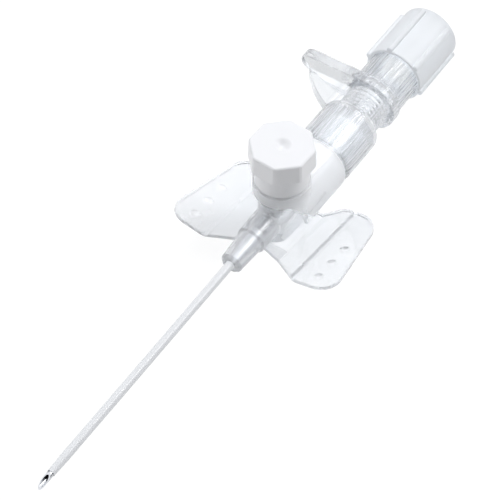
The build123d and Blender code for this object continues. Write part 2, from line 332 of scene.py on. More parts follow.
def arc(start: Point, through: Point, end: Point, steps: int = 10) -> list[Point]:
    """Returns points along the arc through three points.

    Args:
        start: First end.
        through: Point that the arc passes.
        end: Last end.
        steps: Steps between the ends.

    Returns:
        The points, both ends included.
    """
    (ax, ay), (bx, by), (cx, cy) = start, through, end
    a, b, c = ax**2 + ay**2, bx**2 + by**2, cx**2 + cy**2
    d = 2 * (ax * (by - cy) + bx * (cy - ay) + cx * (ay - by))
    ox = (a * (by - cy) + b * (cy - ay) + c * (ay - by)) / d
    oy = (a * (cx - bx) + b * (ax - cx) + c * (bx - ax)) / d
    radius = math.hypot(ax - ox, ay - oy)
    first = math.atan2(ay - oy, ax - ox)
    passed = (math.atan2(by - oy, bx - ox) - first) % math.tau
    sweep = (math.atan2(cy - oy, cx - ox) - first) % math.tau
    if passed > sweep:
        sweep -= math.tau
    turns = [first + sweep * i / steps for i in range(steps + 1)]
    return [(ox + radius * math.cos(t), oy + radius * math.sin(t)) for t in turns]


def drawn(name: str, points: Sequence[Triple], thickness: Triple) -> Thing:
    """Draws a face point by point and draws it out into a slab.

    Args:
        name: Name of the piece.
        points: Corners of the face in order.
        thickness: Way that the face is drawn out.

    Returns:
        The slab, its faces outwards.
    """
    deselect()
    bpy.ops.mesh.primitive_plane_add(size=1)
    obj = named(name)
    pick_points(obj, lambda p: True)
    bpy.ops.mesh.merge(type="CENTER")
    leave()
    obj.data.vertices[0].co = points[0]
    pick_points(obj, lambda p: True)
    for old, new in zip(points, points[1:]):
        extrude(tuple(b - a for a, b in zip(old, new)))
    bpy.ops.mesh.select_all(action="SELECT")
    bpy.ops.mesh.edge_face_add()
    bpy.ops.mesh.select_all(action="SELECT")
    extrude(thickness)
    outwards()
    return obj


def apply_modifiers(obj: Thing) -> None:
    """Applies every modifier of an object, in order.

    Args:
        obj: The object.
    """
    take(obj)
    for modifier in list(obj.modifiers):
        bpy.ops.object.modifier_apply(modifier=modifier.name)


def soften(obj: Thing, width: float, segments: int = 2, angle: float = 35.0) -> None:
    """Rounds every edge that is sharper than an angle.

    Args:
        obj: Piece to soften.
        width: Width of the round.
        segments: Steps across the round.
        angle: Least angle of a sharp edge, in degrees.
    """
    modifier = obj.modifiers.new("soften", "BEVEL")
    modifier.width = width
    modifier.segments = segments
    modifier.limit_method = "ANGLE"
    modifier.angle_limit = math.radians(angle)
    modifier.use_clamp_overlap = True
    apply_modifiers(obj)


def combine(obj: Thing, tool: Thing, join: Join) -> None:
    """Joins a second shape to a piece, or cuts the piece with it, and drops the second.

    Args:
        obj: Piece that stays.
        tool: Shape that is used up.
        join: What is left of both.
    """
    modifier = obj.modifiers.new("combine", "BOOLEAN")
    modifier.object = tool
    modifier.operation = join.value
    modifier.solver = "EXACT"
    apply_modifiers(obj)
    bpy.data.objects.remove(tool)


def fuse(obj: Thing, *tools: Thing) -> None:
    """Joins shapes to a piece, as one moulding."""
    for tool in tools:
        combine(obj, tool, Join.BOTH)


def cut(obj: Thing, *tools: Thing) -> None:
    """Cuts a piece with shapes."""
    for tool in tools:
        combine(obj, tool, Join.REST)


def slice_off(obj: Thing, point: Triple, normal: Triple) -> None:
    """Cuts a piece by a plane, drops the side its normal points to and closes the cut.

    Args:
        obj: Piece to cut.
        point: Point on the plane.
        normal: The plane's normal.
    """
    pick_points(obj, lambda p: True)
    bpy.ops.mesh.bisect(plane_co=point, plane_no=normal, use_fill=True, clear_outer=True)
    leave()


def settle(obj: Thing, smooth: float = 32.0) -> Thing:
    """Brings a finished piece to metres, with its place in its mesh, and shades it.

    Args:
        obj: Finished piece, in millimetres.
        smooth: Greatest angle that is shaded smooth, in degrees.

    Returns:
        The same object.
    """
    take(obj)
    bpy.ops.object.shade_smooth_by_angle(angle=math.radians(smooth))
    modifier = obj.modifiers.new("even", "WEIGHTED_NORMAL")
    modifier.weight = 80
    modifier.keep_sharp = True
    apply_modifiers(obj)
    obj.scale = (0.001, 0.001, 0.001)
    bake()
    return obj


# ---- Finishes ----


class Nodes:
    """A short way to place and feed shader nodes in one tree."""

    def __init__(self, tree: Tree) -> None:
        """Keeps the tree and starts a column for its nodes.

        Args:
            tree: The tree.
        """
        self.tree = tree
        self.count = 0
        self.shader: Node | None = None

    def feed(self, target: Socket, value: object) -> None:
        """Links an output to an input, or gives the input a value.

        Args:
            target: The input.
            value: An output, or what the input is set to.
        """
        if isinstance(value, Socket):
            self.tree.links.new(value, target)
        else:
            target.default_value = value

    def put(self, node: Node, **values: object) -> None:
        """Sets properties of a node and feeds its inputs.

        Args:
            node: The node.
            **values: Properties, or inputs by name with spaces as underscores.
        """
        for key, value in values.items():
            if hasattr(node, key):
                setattr(node, key, value)
            else:
                self.feed(node.inputs[key.replace("_", " ")], value)

    def add(self, kind: str, *fed: object, **values: object) -> Node:
        """Adds a node.

        Args:
            kind: Its type, such as TexNoise.
            *fed: What its first inputs get, in order.
            **values: Properties, or inputs by name with spaces as underscores.

        Returns:
            The node.
        """
        node = self.tree.nodes.new(kind if kind.startswith("NodeGroup") else "ShaderNode" + kind)
        node.location = (self.count * 180, (self.count % 4) * -160)
        self.count += 1
        self.put(node, **values)
        for target, value in zip(node.inputs, fed):
            self.feed(target, value)
        return node

    def ramp(
        self, value: object, start: float, stop: float, to: Sequence[object] = (0.0, 1.0),
        smooth: bool = True,
    ) -> Socket:
        """Spreads a range of a value over another.

        Args:
            value: The value.
            start: Where its range starts.
            stop: Where it stops.
            to: Ends of the other range.
            smooth: True to ease in and out.

        Returns:
            The output.
        """
        node = self.add(
            "MapRange", interpolation_type="SMOOTHSTEP" if smooth else "LINEAR", Value=value,
            From_Min=start, From_Max=stop, To_Min=to[0], To_Max=to[1],
        )
        return node.outputs["Result"]


class Group:
    """A shader group that gives values only and is shared by the materials."""

    NAME: ClassVar[str]
    TAKES: ClassVar[dict[str, float]]
    GIVES: ClassVar[tuple[str, ...]]

    @classmethod
    def fill(cls, nodes: Nodes, given: Node, place: Socket) -> Sequence[Socket]:
        """Places the group's own nodes.

        Args:
            nodes: Nodes of the group.
            given: Its input node.
            place: The point's place in the object.

        Returns:
            What the group gives, in order.
        """
        raise NotImplementedError

    @classmethod
    def tree(cls) -> Tree:
        """Makes the group the first time it is asked for.

        Returns:
            Its tree.
        """
        tree = bpy.data.node_groups.get(cls.NAME)
        if tree:
            return tree
        tree = bpy.data.node_groups.new(cls.NAME, "ShaderNodeTree")
        sockets = [(name, "INPUT") for name in cls.TAKES] + [(name, "OUTPUT") for name in cls.GIVES]
        for name, way in sockets:
            socket = tree.interface.new_socket(name, in_out=way, socket_type="NodeSocketFloat")
            socket.default_value = cls.TAKES.get(name, 0.0) if way == "INPUT" else 0.0
        nodes = Nodes(tree)
        given = nodes.add("NodeGroupInput")
        place = nodes.add("TexCoord").outputs["Object"]
        nodes.add("NodeGroupOutput", *cls.fill(nodes, given, place))
        return tree


class SkinGroup(Group):
    """Fine unevenness of a moulded surface: a rub mask, a height and a slow drift of tone."""

    NAME = "moulded_skin"
    TAKES = {
        "Grain Scale": 9000.0, "Drift Scale": 260.0, "Low Roughness": 0.3, "High Roughness": 0.4,
    }
    GIVES = ("Roughness", "Height", "Drift")

    @classmethod
    def fill(cls, nodes: Nodes, given: Node, place: Socket) -> Sequence[Socket]:
        """Mixes a fine grain and a slow drift. See Group.fill."""
        takes = given.outputs
        grain = nodes.add(
            "TexNoise", Vector=place, Scale=takes["Grain Scale"], Detail=3.0, Roughness=0.6
        ).outputs["Fac"]
        drift = nodes.add(
            "TexNoise", Vector=place, Scale=takes["Drift Scale"], Detail=2.0, Roughness=0.5
        ).outputs["Fac"]
        both = nodes.add("Math", grain, 0.35, drift, operation="MULTIPLY_ADD").outputs[0]
        to = (takes["Low Roughness"], takes["High Roughness"])
        return nodes.ramp(both, 0.35, 0.95, to, smooth=False), grain, drift


class DrawnGroup(Group):
    """Fine lines along the axis, as drawing and grinding leave on steel tube."""

    NAME = "drawn_lines"
    TAKES = {"Line Scale": 7000.0, "Low Roughness": 0.14, "High Roughness": 0.26}
    GIVES = ("Roughness", "Height")

    @classmethod
    def fill(cls, nodes: Nodes, given: Node, place: Socket) -> Sequence[Socket]:
        """Stretches a noise along the axis. See Group.fill."""
        takes = given.outputs
        long = nodes.add("Mapping", Vector=place, Scale=(0.004, 1.0, 1.0)).outputs["Vector"]
        lines = nodes.add(
            "TexNoise", Vector=long, Scale=takes["Line Scale"], Detail=4.0, Roughness=0.7
        ).outputs["Fac"]
        to = (takes["Low Roughness"], takes["High Roughness"])
        return nodes.ramp(lines, 0.3, 0.7, to, smooth=False), lines


class FlowGroup(Group):
    """Soft lines along the axis, as a clear moulding shows where it flowed and drew."""

    NAME = "flow_lines"
    TAKES = {"Line Scale": 700.0, "Wing Start": 1.0}
    GIVES = ("Height",)

    @classmethod
    def fill(cls, nodes: Nodes, given: Node, place: Socket) -> Sequence[Socket]:
        """Stretches a noise along the axis, up to the wings. See Group.fill."""
        takes = given.outputs
        long = nodes.add("Mapping", Vector=place, Scale=(0.05, 1.0, 1.0)).outputs["Vector"]
        lines = nodes.add(
            "TexNoise", Vector=long, Scale=takes["Line Scale"], Detail=1.0, Roughness=0.5
        ).outputs["Fac"]
        across = nodes.add("SeparateXYZ", place).outputs["Y"]
        side = nodes.add("Math", across, operation="ABSOLUTE").outputs[0]
        near = nodes.add("Math", side, takes["Wing Start"], operation="LESS_THAN").outputs[0]
        return (nodes.add("Math", lines, near, operation="MULTIPLY").outputs[0],)


@dataclass(frozen=True)
class Finish:
    """A moulded or rubbed finish on one Principled shader. Its lengths are metres."""

    name: str
    light: Triple  # colour where the drift of tone is lightest
    dark: Triple  # colour where it is darkest
    rough: Point  # lowest and highest roughness
    see_through: float = 0.0  # transmission weight
    bend: float = 1.5  # index of refraction
    glow: float = 0.0  # share of light that soaks in under the surface
    grain: float = 4e-6  # height of the grain
    grain_scale: float = 9000.0  # grains in a metre
    drift_scale: float = 260.0  # changes of tone in a metre
    lets_light: bool = False  # lamps shine through it to what is behind
    soak: float = 0.0008  # how far light soaks in
    flow: float = 0.0  # height of the soft lines along the axis
    flow_scale: float = 700.0  # lines in a metre
    flow_half: float = 1.0  # distance from the axis, sideways, where the lines stop
    painted_streak_shade: Triple = (1.0, 1.0, 1.0)  # painted shade of the lines: a dark tint that stands in for how they bend the light
    painted_streak_range: Point = (0.42, 0.60)  # heights of a line where its painted shade starts and is full
    streak_rough: float = 0.08  # roughness that a line adds

    def close(self, nodes: Nodes) -> None:
        """Links the shader to the output, past a clear shadow where lamps shine through.

        Args:
            nodes: Nodes of the material.
        """
        surface = nodes.shader.outputs[0]
        if self.lets_light:
            shadow = nodes.add("LightPath").outputs["Is Shadow Ray"]
            clear = nodes.add("BsdfTransparent", Color=(0.93, 0.94, 0.95, 1.0)).outputs[0]
            surface = nodes.add("MixShader", shadow, surface, clear).outputs[0]
        nodes.add("OutputMaterial", Surface=surface)

    def skin(self, nodes: Nodes) -> None:
        """Places the moulded skin and links its colour, roughness and grain, with painted shade
        along the flow lines.

        Args:
            nodes: Nodes of the material.
        """
        skin = nodes.add(
            "Group", node_tree=SkinGroup.tree(), Grain_Scale=self.grain_scale,
            Drift_Scale=self.drift_scale, Low_Roughness=self.rough[0], High_Roughness=self.rough[1],
        ).outputs
        tone = nodes.add(
            "Mix", data_type="RGBA", A=(*self.dark, 1.0), B=(*self.light, 1.0), Factor=skin["Drift"]
        )
        bump = nodes.add("Bump", Strength=0.6, Distance=self.grain, Height=skin["Height"])
        nodes.put(
            nodes.shader, Base_Color=tone.outputs["Result"], Roughness=skin["Roughness"],
            Normal=bump.outputs["Normal"],
        )
        if self.flow:
            lines = nodes.add(
                "Group", node_tree=FlowGroup.tree(), Line_Scale=self.flow_scale,
                Wing_Start=self.flow_half,
            ).outputs["Height"]
            under = nodes.add("Bump", Strength=1.0, Distance=self.flow, Height=lines)
            nodes.put(bump, Normal=under.outputs["Normal"])
            # The flow lines darken the colour: painted shade that stands in for how they bend the
            # light.
            share = nodes.ramp(lines, *self.painted_streak_range, smooth=False)
            self.zone(nodes, share, self.rough[1] + self.streak_rough, self.painted_streak_shade)

    def zone(self, nodes: Nodes, mask: Socket, rough: float, tint: Triple) -> None:
        """Gives part of the surface its own roughness and a deeper tint.

        Args:
            nodes: Nodes of the material.
            mask: Share of the zone at a point.
            rough: Roughness in the zone.
            tint: Colour that the zone is multiplied by.
        """
        inputs = nodes.shader.inputs
        roughness, colour = (
            inputs[name].links[0].from_socket for name in ("Roughness", "Base Color")
        )
        own = nodes.add("Mix", data_type="FLOAT", Factor=mask, A=roughness, B=rough)
        deep = nodes.add(
            "Mix", data_type="RGBA", blend_type="MULTIPLY", Factor=mask, A=colour, B=(*tint, 1.0)
        )
        nodes.put(nodes.shader, Roughness=own.outputs["Result"], Base_Color=deep.outputs["Result"])

    def zones(self, nodes: Nodes) -> None:
        """Adds the zones of a finish that has some; this one has none."""

    def make(self) -> Material:
        """Makes the material with its skin and its zones.

        Returns:
            The finished material.
        """
        material = bpy.data.materials.new(self.name)
        material.use_nodes = True
        material.node_tree.nodes.clear()
        nodes = Nodes(material.node_tree)
        nodes.shader = nodes.add(
            "BsdfPrincipled", IOR=self.bend, Transmission_Weight=self.see_through
        )
        if self.glow:
            nodes.put(
                nodes.shader, Subsurface_Weight=self.glow, Subsurface_Radius=(1.0, 1.0, 1.0),
                Subsurface_Scale=self.soak,
            )
        self.skin(nodes)
        self.zones(nodes)
        self.close(nodes)
        return material


@dataclass(frozen=True)
class HubFinish(Finish):
    """Clear moulding that is frosted at its nose and lightly grained on its wings."""

    nose_rough: float = 0.20  # roughness of the frosted nose
    nose_tint: Triple = (0.82, 0.822, 0.83)  # tint of the nose
    nose_end: float = 0.0098  # place along the axis where the frosting ends
    wing_rough: float = 0.10  # roughness of the wings
    wing_tint: Triple = (0.91, 0.912, 0.915)  # tint of the wings
    wing_start: float = 0.0038  # distance from the axis where the wings' grain starts
    wing_fade: float = 0.0004  # width of that start
    nose_fade: float = 0.0008  # width of the frosting's end

    def zones(self, nodes: Nodes) -> None:
        """Frosts the nose and grains the wings.

        Args:
            nodes: Nodes of the material.
        """
        place = nodes.add("TexCoord").outputs["Object"]
        split = nodes.add("SeparateXYZ", place).outputs
        side = nodes.add("Math", split["Y"], operation="ABSOLUTE").outputs[0]
        wing = nodes.ramp(side, self.wing_start, self.wing_start + self.wing_fade)
        nose = nodes.ramp(split["X"], self.nose_end, self.nose_end - self.nose_fade)
        frosted = nodes.add("Math", nose, wing, operation="SUBTRACT", use_clamp=True)
        self.zone(nodes, frosted.outputs[0], self.nose_rough, self.nose_tint)
        self.zone(nodes, wing, self.wing_rough, self.wing_tint)


@dataclass(frozen=True)
class PlateFinish(Finish):
    """Clear moulding whose thumb plate and web are thicker and milkier."""

    plate_rough: float = 0.24  # roughness of the plate
    plate_tint: Triple = (0.85, 0.855, 0.86)  # tint of the plate
    plate_start: float = 0.0050  # distance from the axis where the plate starts
    plate_fade: float = 0.0006  # width of that start

    def zones(self, nodes: Nodes) -> None:
        """Makes the plate milky.

        Args:
            nodes: Nodes of the material.
        """
        place = nodes.add("TexCoord").outputs["Object"]
        across = nodes.add("VectorMath", place, (0.0, 1.0, 1.0), operation="MULTIPLY").outputs[0]
        away = nodes.add("VectorMath", across, operation="LENGTH").outputs["Value"]
        plate = nodes.ramp(away, self.plate_start, self.plate_start + self.plate_fade)
        self.zone(nodes, plate, self.plate_rough, self.plate_tint)


@dataclass(frozen=True)
class SteelFinish(Finish):
    """Drawn stainless tube with fine lines along it."""

    def skin(self, nodes: Nodes) -> None:
        """Places the drawn lines on bare metal.

        Args:
            nodes: Nodes of the material.
        """
        lines = nodes.add(
            "Group", node_tree=DrawnGroup.tree(), Low_Roughness=self.rough[0],
            High_Roughness=self.rough[1],
        ).outputs
        bump = nodes.add("Bump", Strength=0.5, Distance=self.grain, Height=lines["Height"])
        nodes.put(
            nodes.shader, Metallic=1.0, Base_Color=(*self.light, 1.0),
            Roughness=lines["Roughness"], Normal=bump.outputs["Normal"],
        )


WHITE = Finish("white_moulding", (0.77, 0.775, 0.79), (0.74, 0.745, 0.765), (0.34, 0.48), glow=0.04)
COLLAR_WHITE = Finish(
    "collar_white", (0.88, 0.885, 0.895), (0.85, 0.855, 0.87), (0.28, 0.40),
    see_through=0.46, bend=1.42, glow=0.7, soak=0.003, lets_light=True,
)
HUB_CLEAR = HubFinish(
    "hub_clear", (0.92, 0.93, 0.94), (0.89, 0.90, 0.915), (0.08, 0.16),
    see_through=0.72, bend=1.47, grain=1.5e-6, lets_light=True,
    # the streak colour is painted shade along the flow lines
    flow=1.2e-4, flow_half=0.0039, flow_scale=1100.0, painted_streak_shade=(0.95, 0.952, 0.955),
)
NEEDLE_HUB_CLEAR = PlateFinish(
    "needle_hub_clear", (0.93, 0.937, 0.947), (0.89, 0.90, 0.912), (0.08, 0.16),
    see_through=0.82, bend=1.44, grain=1.0e-6, lets_light=True,
    # the streak colour is painted shade along the flow lines
    flow=2e-4, flow_half=0.0049, flow_scale=2200.0, painted_streak_shade=(0.77, 0.778, 0.79),
)
LUER_CAP_NATURAL = Finish(
    "luer_cap_natural", (0.77, 0.785, 0.80), (0.74, 0.755, 0.775), (0.36, 0.48),
    see_through=0.30, bend=1.42, grain=3e-6, lets_light=True,
)
PLUG_NATURAL = Finish(
    "plug_natural", (0.93, 0.945, 0.96), (0.90, 0.92, 0.94), (0.25, 0.38),
    see_through=0.45, bend=1.49, lets_light=True,
)
CATHETER_FILM = Finish(
    "catheter_film", (0.72, 0.73, 0.745), (0.71, 0.72, 0.735), (0.16, 0.18),
    see_through=0.10, bend=1.35, grain=3e-7, drift_scale=30.0, lets_light=True,
)
SILICONE = Finish("valve_silicone", (0.90, 0.90, 0.89), (0.85, 0.85, 0.85), (0.45, 0.6), glow=0.3)
FELT = Finish(
    "filter_felt", (0.92, 0.92, 0.90), (0.78, 0.78, 0.76), (0.85, 0.98),
    grain=4e-5, grain_scale=14000.0,
)
STEEL = SteelFinish(
    "needle_steel", (0.52, 0.53, 0.55), (0.50, 0.51, 0.53), (0.22, 0.26), grain=5e-7
)


def dress(obj: Thing, material: Material) -> None:
    """Gives every slot of an object one material.

    Args:
        obj: Object to dress.
        material: Material for all of it.
    """
    if not obj.material_slots:
        obj.data.materials.append(material)
    for slot in obj.material_slots:
        slot.material = material


# ---- Sub-assemblies ----


@dataclass(frozen=True)
class Role:
    """What a modelled piece stands for."""

    name: str
    node: str  # CAD node that it replaces
    body: str  # body that it moves with
    slot: str  # material slot, not used
    finish: Finish


class Piece:
    """A modelled piece that stands in for a CAD node."""

    ROLE: ClassVar[Role]

    def make(self) -> Thing:
        """Builds the piece; every kind of piece has its own way."""
        raise NotImplementedError

    def place(self) -> Thing:
        """Builds the piece, dresses it and sets it on its body.

        Returns:
            The placed piece.
        """
        piece, role = self.make(), self.ROLE
        piece.name = role.name
        dress(piece, role.finish.make())
        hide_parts(role.node)
        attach(piece, role.body)
        return piece


@dataclass
class Wings:
    """Both wings, drawn flat in their plane as one half, mirrored and pitched down to the rear."""

    drop: float = 2.16  # height of the wings' top under the axis at the origin
    pitch: float = 8.54  # slope of the wings, down to the rear, in degrees
    thickness: float = 0.55  # thickness of the sheet
    lift: float = 13.7  # rise of the outer panels about their folds, in degrees
    fold: float = 7.67  # distance of the folds from the axis
    fold_half: float = 0.36  # half the width of the folds' grooves
    fold_depth: float = 0.25  # depth of the grooves
    front_tip: Point = (4.2, 15.2)  # front corner of a wing, before it is rounded
    rear_tip: Point = (23.5, 12.3)  # rear corner, before it is rounded
    front_knee: Point = (4.7, 8.17)  # bend of the front edge
    rear_knee: Point = (23.2, 6.07)  # bend of the rear edge
    # How far the rounds of these four reach along the edges
    rounds: tuple[float, ...] = (3.74, 4.07, 0.43, 1.03)
    root_front: float = 7.0  # front end of the sheet beside the hub
    root_rear: float = 19.8  # rear end of the sheet beside the hub
    root_half: float = 3.9  # distance from the axis where the root ends
    rim: float = 0.6  # width of the raised rim
    rim_height: float = 0.17  # height of the rim
    rim_flat: float = 0.75  # share of its width that is flat
    rim_slope: float = 0.2  # share that slopes down to the field
    dimple: float = 0.88  # radius of the dimples
    dimple_depth: float = 0.31  # depth of the dimples under the field
    dimple_side: float = 11.25  # distance of the dimples from the axis
    dimple_places: tuple[float, ...] = (6.95, 10.65, 14.35)  # places of the dimples along the axis

    def bend(self, sheet: Thing, ends: Sequence[Point], place: Point) -> None:
        """Bends a straight edge of the sheet at a new point.

        Args:
            sheet: The flat sheet.
            ends: Both ends of the edge.
            place: Where the new point goes.
        """
        old = len(sheet.data.vertices)
        pick_points(sheet, lambda p: any(math.dist((p.x, p.y), end) < 1e-3 for end in ends))
        bpy.ops.mesh.subdivide(number_cuts=1)
        leave()
        sheet.data.vertices[old].co = (*place, 0)

    def plan(self) -> Thing:
        """Draws the outline of one wing as a flat sheet, from its tip to the axis.

        Returns:
            The sheet.
        """
        front = self.front_knee[0] + 0.27
        rear = self.rear_knee[0] + 0.08
        outer = [self.front_tip, self.rear_tip, (rear, self.fold), (front, self.fold)]
        sheet = sheet_of("wings", [(*corner, 0) for corner in outer])
        middle_front = self.root_front + self.root_half / 3
        steps = (
            (self.fold, self.root_half, self.root_front),
            (self.root_half, 0.0, middle_front),
        )
        for old, new, new_front in steps:
            pick_points(sheet, lambda p, old=old: abs(p.y - old) < MERGE)
            bpy.ops.mesh.extrude_edges_move(TRANSFORM_OT_translate={"value": (0, new - old, 0)})
            leave()
            for point in sheet.data.vertices:
                if abs(point.co.y - new) < MERGE:
                    fore = point.co.x < self.dimple_places[-1]
                    point.co.x = new_front if fore else self.root_rear
        self.bend(sheet, (self.front_tip, (front, self.fold)), self.front_knee)
        self.bend(sheet, ((rear, self.fold), (self.root_rear, self.root_half)), self.rear_knee)
        corners = (self.front_tip, self.rear_tip, self.front_knee, self.rear_knee)
        for corner, reach in zip(corners, self.rounds):
            pick_points(sheet, lambda p, corner=corner: math.dist((p.x, p.y), corner) < 1e-3)
            bpy.ops.mesh.bevel(offset=reach, segments=10, affect="VERTICES", clamp_overlap=False)
            leave()
        return sheet

    def thicken(self, sheet: Thing) -> None:
        """Gives the sheet its thickness and sinks its field inside the rim.

        Args:
            sheet: The flat sheet.
        """
        pick_faces(sheet, lambda c, n: True)
        extrude((0, 0, -self.thickness))
        outwards()
        pick_faces(sheet, lambda c, n: n.z > 0.9 and c.z > -0.01)
        steps = ((self.rim_flat, 0.0), (self.rim_slope, -self.rim_height))
        for share, depth in steps:
            bpy.ops.mesh.inset(thickness=self.rim * share, depth=depth, use_boundary=True)
        leave()

    def groove(self) -> Thing:
        """Makes the tapered bar that cuts the fold's groove.

        Returns:
            The bar.
        """
        wide, narrow = 2 * self.fold_half, 0.03
        top, low = (depth - self.rim_height for depth in (self.fold_depth, -self.fold_depth))
        section = ((-wide, top), (wide, top), (narrow, low), (-narrow, low))
        bar = sheet_of("groove", [(-1, self.fold + y, z) for y, z in section])
        pick_faces(bar, lambda c, n: True)
        extrude((30, 0, 0))
        outwards()
        return bar

    def dimples(self) -> list[Thing]:
        """Makes the balls that press the dimples.

        Returns:
            The balls.
        """
        ball = (self.dimple**2 + self.dimple_depth**2) / (2 * self.dimple_depth)
        deselect()
        bpy.ops.mesh.primitive_uv_sphere_add(segments=48, ring_count=96, radius=ball)
        height = ball - self.rim_height - self.dimple_depth
        places = [(place, self.dimple_side, height) for place in self.dimple_places]
        return copies(named("dimple"), places)

    def make(self) -> Thing:
        """Builds the wings in place.

        Returns:
            The wings, in millimetres.
        """
        sheet = self.plan()
        self.thicken(sheet)
        cut(sheet, *self.dimples())
        pick_points(sheet, lambda p: p.y > self.fold + 1e-3)
        bpy.ops.transform.rotate(
            value=math.radians(-self.lift),
            orient_axis="X",
            center_override=(0, self.fold, -self.thickness),
        )
        leave()
        cut(sheet, self.groove())
        mirror = sheet.modifiers.new("mirror", "MIRROR")
        mirror.use_axis = (False, True, False)
        mirror.merge_threshold = MERGE
        apply_modifiers(sheet)
        pick_faces(sheet, lambda c, n: abs(c.y) < MERGE and abs(n.y) > 0.9)
        bpy.ops.mesh.delete(type="ONLY_FACE")
        bpy.ops.mesh.select_all(action="SELECT")
        bpy.ops.mesh.remove_doubles(threshold=MERGE)
        outwards()
        soften(sheet, 0.07, 2, 30.0)
        take(sheet)
        sheet.rotation_euler = (0, math.radians(self.pitch), 0)
        sheet.location = (0, 0, -self.drop)
        bake()
        return sheet

    def under(self, x: float) -> float:
        """Returns the height of the wings' underside at a place along the axis."""
        slope = math.radians(self.pitch)
        return -self.drop - self.thickness / math.cos(slope) - x * math.tan(slope)


@dataclass
class CatheterHub(Piece):
    """The clear winged hub: nose, waist under the port, barrel, luer socket and chimney."""

    ROLE = Role("winged_hub", "catheter_hub", "cannula", "hub_clear", HUB_CLEAR)

    wings: Wings = field(default_factory=Wings)  # the wings that are moulded on
    waist_half: float = 2.45  # half the width of the waist
    waist_front: float = 9.4  # front end of the waist
    seat: float = 4.0  # height of the waist's flat top
    chimney: float = 3.2  # radius of the chimney
    chimney_top: float = 11.4  # height of the chimney
    barrel: float = 3.9  # radius of the barrel
    barrel_front: float = 17.4  # front end of the barrel
    socket: float = 3.35  # radius of the luer socket outside
    socket_end: float = 31.5  # rear end of the socket
    lug: float = 3.92  # radius over the lugs
    lug_length: float = 3.1  # length of the lugs
    lug_half: float = 1.8  # half the width of a lug
    mouth: float = 2.135  # radius of a luer mouth
    belly_half: float = 3.2  # half the width of the belly
    # (place, radius) points of the nose and of the flow bore in front of the socket
    nose: tuple[Point, ...] = ((0.0, 1.42), (0.35, 1.77), (5.2, 2.02), (5.55, 2.35))
    flow: tuple[Point, ...] = (
        (-1.0, 0.71), (2.4, 0.71), (3.4, 0.98), (7.0, 0.98), (7.61, 1.26), (10.2, 1.26),
        (10.2, 2.01), (16.6, 2.01), (16.6, 1.5), (22.0, 1.5), (22.0, 1.85),
    )
    barrel_back: float = 23.4  # rear end of the barrel
    socket_front: float = 24.6  # front end of the socket outside
    port_floor: float = 4.2  # height where the port's taper ends
    port_hole: float = 0.9  # radius of the hole from there to the flow bore

    def body(self) -> Thing:
        """Turns the nose, the barrel and the socket.

        Returns:
            The turned body.
        """
        middle = self.waist_front + self.waist_half
        obj = turn(
            "hub_body",
            [
                *self.nose, (middle, self.waist_half),
                (self.barrel_front - 1.2, self.waist_half), (self.barrel_front, self.barrel),
                (self.barrel_back, self.barrel), (self.socket_front, self.socket),
                (self.socket_end, self.socket),
            ],
        )
        soften(obj, 0.06, 2, 12.0)
        return obj

    def waist(self) -> Thing:
        """Draws out a post into the upright-walled waist.

        Returns:
            The waist.
        """
        middle = self.waist_front + self.waist_half
        low = self.wings.under(self.barrel_front) + 0.2
        waist = post(
            "waist", 72, self.waist_half, self.seat - low, (middle, 0, (self.seat + low) / 2)
        )
        pick_points(waist, lambda p: p.x > middle + 0.01)
        bpy.ops.transform.translate(value=(self.barrel_front - middle - 0.6, 0, 0))
        leave()
        soften(waist, 0.25, 3, 60.0)
        return waist

    def belly(self) -> Thing:
        """Makes the foot that joins the barrel to the wings.

        Returns:
            The foot.
        """
        low = self.wings.under(self.wings.root_rear) + 0.3
        foot = block(
            "belly",
            (self.barrel_front - 1.2, -self.belly_half, low),
            (self.wings.root_rear - 0.1, self.belly_half, 0.0),
        )
        soften(foot, 0.5, 3)
        return foot

    def lugs(self) -> Thing:
        """Makes the two locking lugs of the socket.

        Returns:
            The lugs.
        """
        start = self.socket_end - self.lug_length
        ring = rod("lugs", start, self.socket_end - 0.05, self.lug)
        bar = block(
            "lug_bar",
            (start - 1, -self.lug - 1, -self.lug_half),
            (self.socket_end + 1, self.lug + 1, self.lug_half),
        )
        combine(ring, bar, Join.SHARED)
        soften(ring, 0.18, 2)
        return ring

    def bores(self) -> list[Thing]:
        """Makes the shapes of the bores along the hub and down the port.

        Returns:
            The shapes to cut with.
        """
        flow = turn(
            "flow",
            [
                *self.flow, (self.socket_end + 0.02, self.mouth),
                (self.socket_end + 1, self.mouth + 0.03),
            ],
        )
        drop = turn(
            "port_bore",
            [
                (self.chimney_top + 0.5, self.mouth + 0.015),
                (self.port_floor, self.mouth - 0.216),
                (self.port_floor, self.port_hole), (0.0, self.port_hole),
            ],
            along=Along.PORT,
            sides=64,
        )
        return [flow, drop]

    def make(self) -> Thing:
        """Builds the hub as one clear moulding.

        Returns:
            The finished hub.
        """
        hub = self.body()
        low, high = self.seat - 0.6, self.chimney_top
        chimney = rod("chimney", low, high, self.chimney, Along.PORT)
        fuse(hub, self.waist(), self.belly(), chimney, self.lugs())
        slope = math.radians(self.wings.pitch)
        foot = (0, 0, self.wings.under(0) + 0.02)
        slice_off(hub, foot, (-math.sin(slope), 0, -math.cos(slope)))
        fuse(hub, self.wings.make())
        cut(hub, *self.bores())
        return settle(hub)


